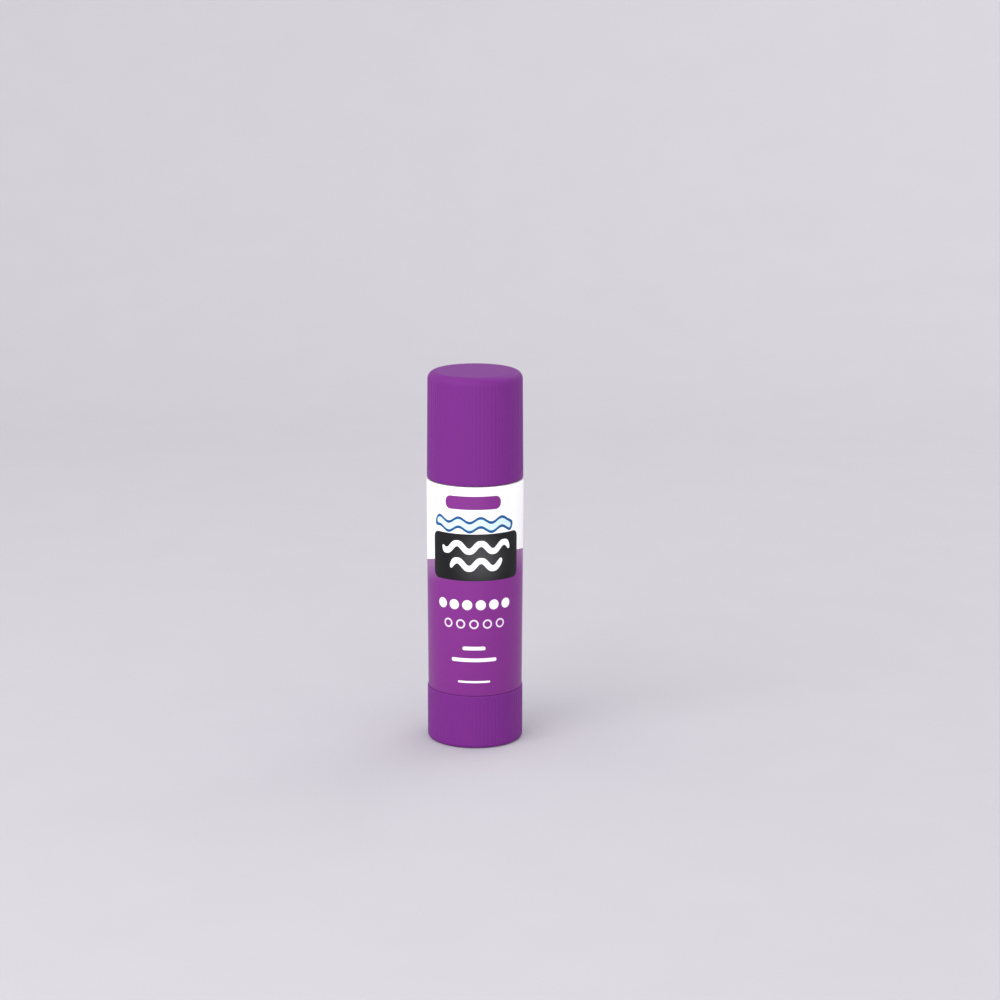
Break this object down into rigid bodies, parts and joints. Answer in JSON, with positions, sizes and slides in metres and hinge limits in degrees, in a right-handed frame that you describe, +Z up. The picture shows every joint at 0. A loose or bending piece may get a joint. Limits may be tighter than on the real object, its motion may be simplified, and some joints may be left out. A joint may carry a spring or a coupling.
{
  "type": "glue stick",
  "caption": "Twist-up glue stick standing upright, with a ribbed pull-off cap, a printed label and a ribbed knob that raises the glue.",
  "frame": {"origin": "centre of the knob's underside, on the surface that the stick stands on", "axes": "+Z up along the stick towards the cap, -Y the front of the label, +Y the label's seam"},
  "size_m": [0.0254, 0.0254, 0.0995],
  "materials": {
    "purple_plastic": "moulded polypropylene, satin",
    "white_plastic": "natural white moulded polypropylene",
    "label_film": "printed film, semi-gloss",
    "glue": "soft waxy purple glue"
  },
  "bodies": {
    "barrel": {"barrel": "white_plastic", "label": "label_film"},
    "knob": {"base_knob": "purple_plastic", "spindle": "white_plastic"},
    "carrier": {"carrier": "white_plastic", "glue": "glue"},
    "cap": {"cap": "purple_plastic"}
  },
  "joints": [
    {"name": "knob_turn", "type": "hinge", "parent": "barrel", "child": "knob", "pos_m": [0, 0, 0], "axis": [0, 0, 1], "range_deg": [0, 3240]},
    {"name": "carrier_rise", "type": "slide", "parent": "barrel", "child": "carrier", "axis": [0, 0, 1], "range_m": [0, 0.0675]},
    {"name": "cap_pull", "type": "slide", "parent": "carrier", "child": "cap", "axis": [0, 0, 1], "range_m": [0, 0.04]}
  ],
  "couplings": [
    {"joint": "knob_turn", "follows": "carrier_rise", "rad_per_m": 837.76}
  ]
}
